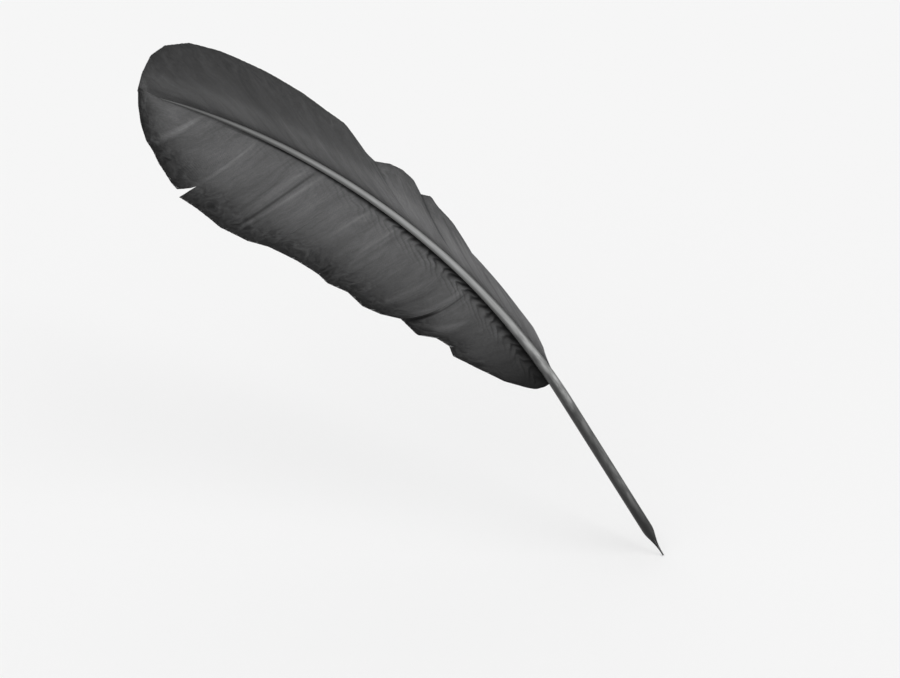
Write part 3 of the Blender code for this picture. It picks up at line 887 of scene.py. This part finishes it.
def keratin_finish(name):
    """Grey horn: fine lines lengthwise, a painted highlight with painted shade on its flanks, and dried
    ink from the nib up the barrel.
    """
    made, tree, shader = new_material(name, 0.4)
    along, out, raised = stored_place(tree, "pen_place")
    angle = calc(tree, "ARCTAN2", out, raised)
    around, facing = calc(tree, "SINE", angle), calc(tree, "COSINE", angle)
    flank = calc(tree, "ABSOLUTE", around)

    def wrapped(along_scale, round_scale, detail):
        """Noise that meets itself round the shaft."""
        lengthwise = multiply(tree, along, along_scale)
        sideways, outwards = multiply(tree, around, round_scale), multiply(tree, facing, round_scale)
        return noise(tree, lengthwise, sideways, outwards, detail)

    lines = wrapped(0.12, 5.0, 4.0)
    clouds = noise(tree, multiply(tree, along, 0.07), out, raised)
    patches = remap(tree, wrapped(0.16, 1.4, 2.0), 0.35, 0.65, -1.0, 0.6)
    patches = multiply(tree, patches, remap(tree, along, 100.0, 140.0, 0.40, 0.06))
    # Painted highlight and shade: the highlight sits off centre near the barrel and is softened further
    # up the shaft
    turned = calc(tree, "SUBTRACT", angle, remap(tree, along, 88.0, 122.0, 0.32, 0.0))
    painted_light_strength = remap(tree, along, 110.0, 175.0, 1.0, 0.75)
    shade = multiply(
        tree,
        calc(tree, "ADD", 1.0, patches),
        curve(tree, along, SHAFT_TONES),
        spread(tree, lines, 0.88, 1.10),
        spread(tree, clouds, 0.92, 1.06),
        calc(tree, "POWER", curve(tree, turned, PAINTED_LIGHT_ROUND_SHAFT), painted_light_strength),
    )

    ragged = calc(tree, "SUBTRACT", wrapped(0.25, 2.2, 3.0), 0.5)
    stain_line = calc(tree, "ADD", STAIN_TOP, multiply(tree, flank, 9.0))
    stain_line = calc(tree, "ADD", stain_line, multiply(tree, ragged, 10.0))
    depth = calc(tree, "SUBTRACT", stain_line, along)
    shade = multiply(tree, shade, remap(tree, depth, 0.0, 5.0, 1.0, 0.45))
    dipped = calc(tree, "ADD", along, multiply(tree, ragged, 14.0))
    shade = multiply(tree, shade, remap(tree, dipped, *DIP_LINE, 0.16, 1.0))
    tree.links.new(grey(tree, shade, (1.0, 1.01, 1.0)), shader.inputs["Base Color"])
    bump = wire(tree, "ShaderNodeBump", {"Strength": 0.35, "Distance": 0.00005, "Height": lines})
    tree.links.new(bump.outputs["Normal"], shader.inputs["Normal"])
    tree.links.new(spread(tree, lines, 0.36, 0.50), shader.inputs["Roughness"])
    shader.inputs["Specular IOR Level"].default_value = 0.4
    return made


def pith_finish():
    """The white foam of the shaft's core: fine cells."""
    made, tree, shader = new_material("pith_foam", 0.9)
    spot = wire(tree, "ShaderNodeTexCoord").outputs["Object"]
    cells = wire(tree, "ShaderNodeTexVoronoi", {"Vector": spot, "Scale": 6000.0}).outputs["Distance"]
    tone = remap(tree, cells, 0.0, 1.0, 0.70, 0.45, "LINEAR")
    tree.links.new(grey(tree, tone, (1.0, 0.97, 0.89)), shader.inputs["Base Color"])
    bump = wire(tree, "ShaderNodeBump", {"Strength": 0.4, "Distance": 0.00005, "Height": cells})
    tree.links.new(bump.outputs["Normal"], shader.inputs["Normal"])
    return made


# ---------------------------------------------------------------- stage

CAMERA_PLACE = (-0.0952, -0.4646, 0.3234)
CAMERA_DOWN = math.radians(25)
CAMERA_LENS = 50                    # millimetres, as is the sensor
CAMERA_SENSOR = 36
NEAREST_SEEN = 0.01
FLOOR_HALF_SIZE = 20.0
FLOOR_TONE = 0.88
SKY_STRENGTH = 0.82
# Each light: the way to it, its width in degrees and its strength
KEY_LIGHT = ((0.80, -0.35, 0.70), 50, 1.0)
FILL_LIGHT = ((-0.5, -0.9, 0.5), 60, 0.2)


def add_camera():
    """Looks down on the leaning pen from the side of its smooth back, with the nib low on the right."""
    camera = bpy.data.cameras.new("camera")
    camera.lens = CAMERA_LENS
    camera.sensor_width = CAMERA_SENSOR
    camera.clip_start = NEAREST_SEEN
    made = bpy.data.objects.new("camera", camera)
    made.location = CAMERA_PLACE
    made.rotation_euler = (math.pi / 2 - CAMERA_DOWN, 0.0, 0.0)
    bpy.context.scene.collection.objects.link(made)
    bpy.context.scene.camera = made


def add_light(name, towards, width, strength):
    """A far soft light; towards is the way to it from the pen, width its size in degrees."""
    light = bpy.data.lights.new(name, "SUN")
    light.angle = math.radians(width)
    light.energy = strength
    made = bpy.data.objects.new(name, light)
    made.location = Vector(towards)
    made.rotation_euler = Vector(towards).to_track_quat("Z", "Y").to_euler()
    bpy.context.scene.collection.objects.link(made)


def add_stage():
    """A pale floor under a pale sky, a soft key from high on the right and a weak fill."""
    work = bmesh.new()
    bmesh.ops.create_grid(work, x_segments=1, y_segments=1, size=FLOOR_HALF_SIZE)
    mesh = bpy.data.meshes.new("floor")
    work.to_mesh(mesh)
    work.free()
    floor = bpy.data.objects.new("floor", mesh)
    bpy.context.scene.collection.objects.link(floor)
    made, _, shader = new_material("floor_paper", 0.9)
    shader.inputs["Base Color"].default_value = (FLOOR_TONE, FLOOR_TONE, FLOOR_TONE, 1.0)
    shader.inputs["Specular IOR Level"].default_value = 0.0
    mesh.materials.append(made)
    world = bpy.data.worlds.new("studio")
    world.use_nodes = True
    sky = world.node_tree.nodes["Background"].inputs
    sky["Color"].default_value = (1.0, 1.0, 1.0, 1.0)
    sky["Strength"].default_value = SKY_STRENGTH
    bpy.context.scene.world = world
    add_light("key", *KEY_LIGHT)
    add_light("fill", *FILL_LIGHT)
    bpy.context.scene.view_settings.view_transform = "Standard"


# ---------------------------------------------------------------- the pen

def build_pen():
    """All the pieces of the pen with their finishes; the pith keeps its shape from the frame."""
    keratin = keratin_finish("grey_horn")
    outer_finish = barb_finish(
        "outer_vane_grey", OUTER_ROOT_TONES, OUTER_REACH_TONES, OUTER_STREAKS, OUTER_MOTTLING, lit=True
    )
    inner_finish = barb_finish(
        "inner_vane_grey", INNER_ROOT_TONES, INNER_REACH_TONES, INNER_STREAKS, INNER_MOTTLING, lit=False
    )
    build_shaft(keratin)
    build_barrel(keratin)
    build_nib_half("nib_half_left", "tine_left", -1, keratin)
    build_nib_half("nib_half_right", "tine_right", 1, keratin)
    tree, sockets = barbs_tree()
    vanes = ((OUTER_VANE, outer_finish, OUTER_SEED), (INNER_VANE, inner_finish, INNER_SEED))
    for vane, finish, seed in vanes:
        for number in range(1, len(vane.clumps) + 1):
            build_clump(vane, number, tree, sockets, finish, seed + number)
    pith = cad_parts["shaft_pith"]
    pith.data.materials.clear()
    pith.data.materials.append(pith_finish())


add_camera()
add_stage()
build_pen()
